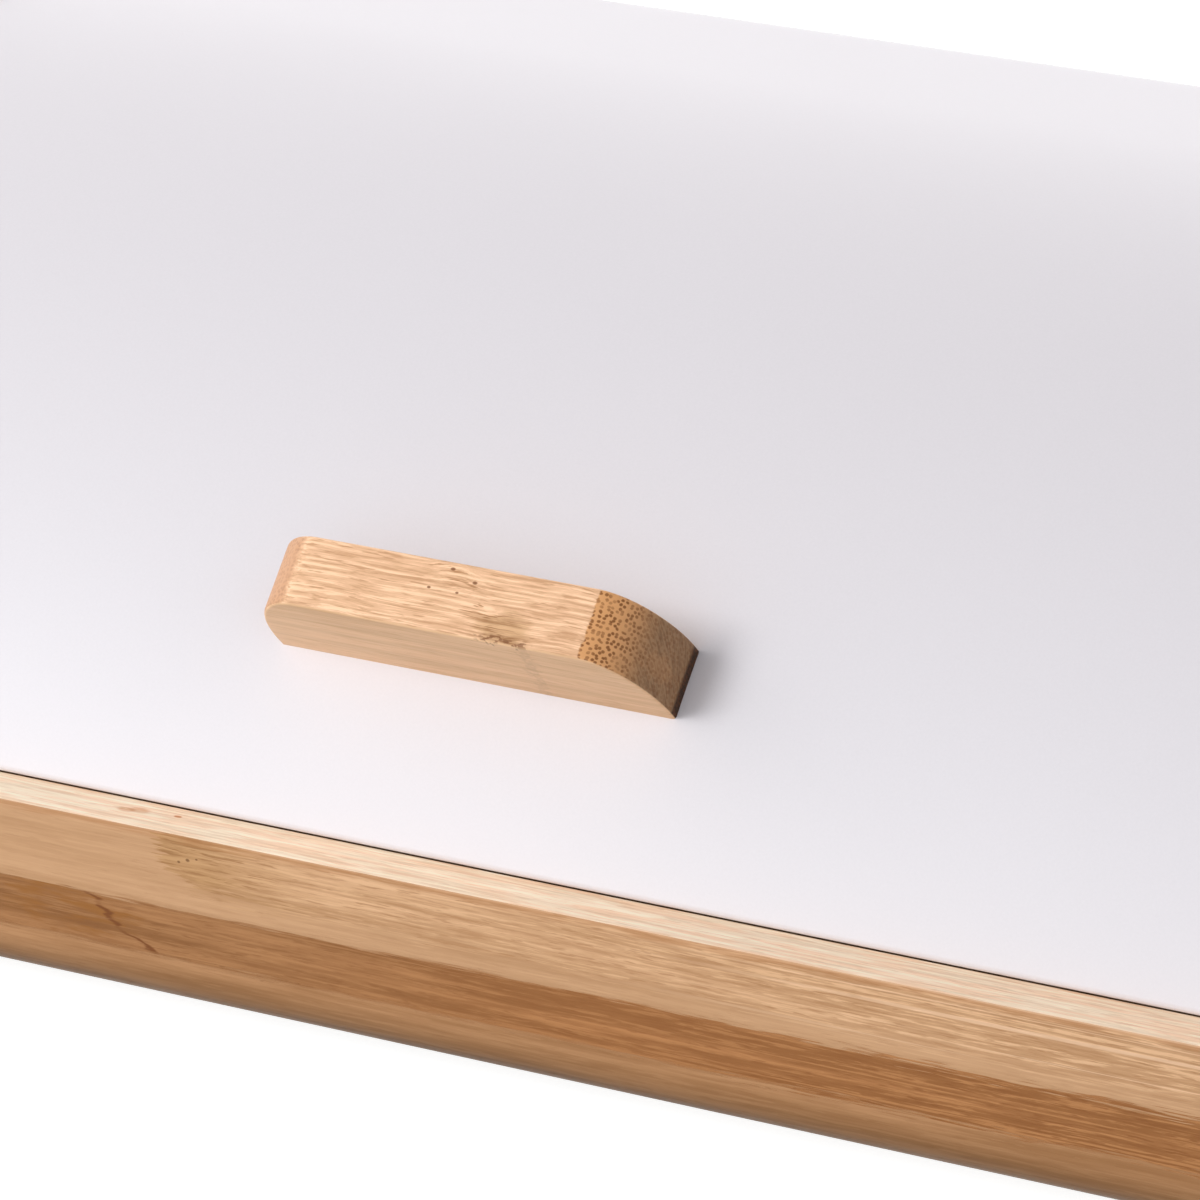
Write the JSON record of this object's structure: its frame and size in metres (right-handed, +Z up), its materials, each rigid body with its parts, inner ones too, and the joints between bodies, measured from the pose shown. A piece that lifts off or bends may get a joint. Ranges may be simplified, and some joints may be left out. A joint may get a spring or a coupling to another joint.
{
  "type": "bread box with drawer",
  "caption": "Bamboo bread box with a curved painted-steel lid hinged at the rear, a bamboo bar handle and a shallow full-width drawer.",
  "frame": {"origin": "bottom centre of the whole box, on the surface that the feet stand on", "axes": "+X to the box's right as its user sees it from the front and along its width, +Y towards the back, +Z up; the drawer front faces -Y"},
  "size_m": [0.486, 0.284, 0.1724],
  "materials": {
    "bamboo": "clear satin lacquer on laminated bamboo strips",
    "front_bamboo": "clear satin lacquer, wide strips of different shades",
    "handle_bamboo": "clear satin lacquer, darker end grain",
    "bamboo_ply": "thin bamboo panel, sanded",
    "dowel_wood": "plain sanded wood",
    "lid_paint": "satin white powder coat with a fine grain",
    "zinc_steel": "bright zinc plate",
    "brass": "plain brass",
    "rubber": "matt",
    "nylon": "natural nylon"
  },
  "bodies": {
    "carcass": {"side_panel_left": "bamboo", "side_panel_right": "bamboo", "back_panel": "bamboo", "shelf_panel": "bamboo", "bottom_panel": "bamboo_ply", "shelf_dowels": "dowel_wood", "back_screws": "zinc_steel", "bottom_screws": "zinc_steel", "feet": "rubber", "foot_screws": "zinc_steel", "drawer_runner_left": "dowel_wood", "drawer_runner_right": "dowel_wood", "runner_screws": "zinc_steel", "drawer_stop_screws": "zinc_steel", "lid_bumpers": "rubber", "lid_stop_pins": "zinc_steel", "hinge_insert_left": "brass", "hinge_insert_right": "brass", "hinge_screw_left": "zinc_steel", "hinge_screw_right": "zinc_steel"},
    "lid": {"lid_skin": "lid_paint", "lid_end_plate_left": "lid_paint", "lid_end_plate_right": "lid_paint", "lid_handle": "handle_bamboo", "handle_screws": "zinc_steel", "handle_washers": "zinc_steel", "hinge_bush_left": "nylon", "hinge_bush_right": "nylon"},
    "drawer": {"drawer_front": "front_bamboo", "drawer_inner_front": "bamboo", "drawer_side_left": "bamboo", "drawer_side_right": "bamboo", "drawer_back": "bamboo", "drawer_bottom": "bamboo_ply", "drawer_dowels": "dowel_wood", "drawer_front_screws": "zinc_steel"}
  },
  "joints": [
    {"name": "lid_hinge", "type": "hinge", "parent": "carcass", "child": "lid", "pos_m": [0, 0.126, 0.15637], "axis": [-1, 0, 0], "range_deg": [0, 100]},
    {"name": "drawer_slide", "type": "slide", "parent": "carcass", "child": "drawer", "axis": [0, -1, 0], "range_m": [0, 0.17]}
  ]
}
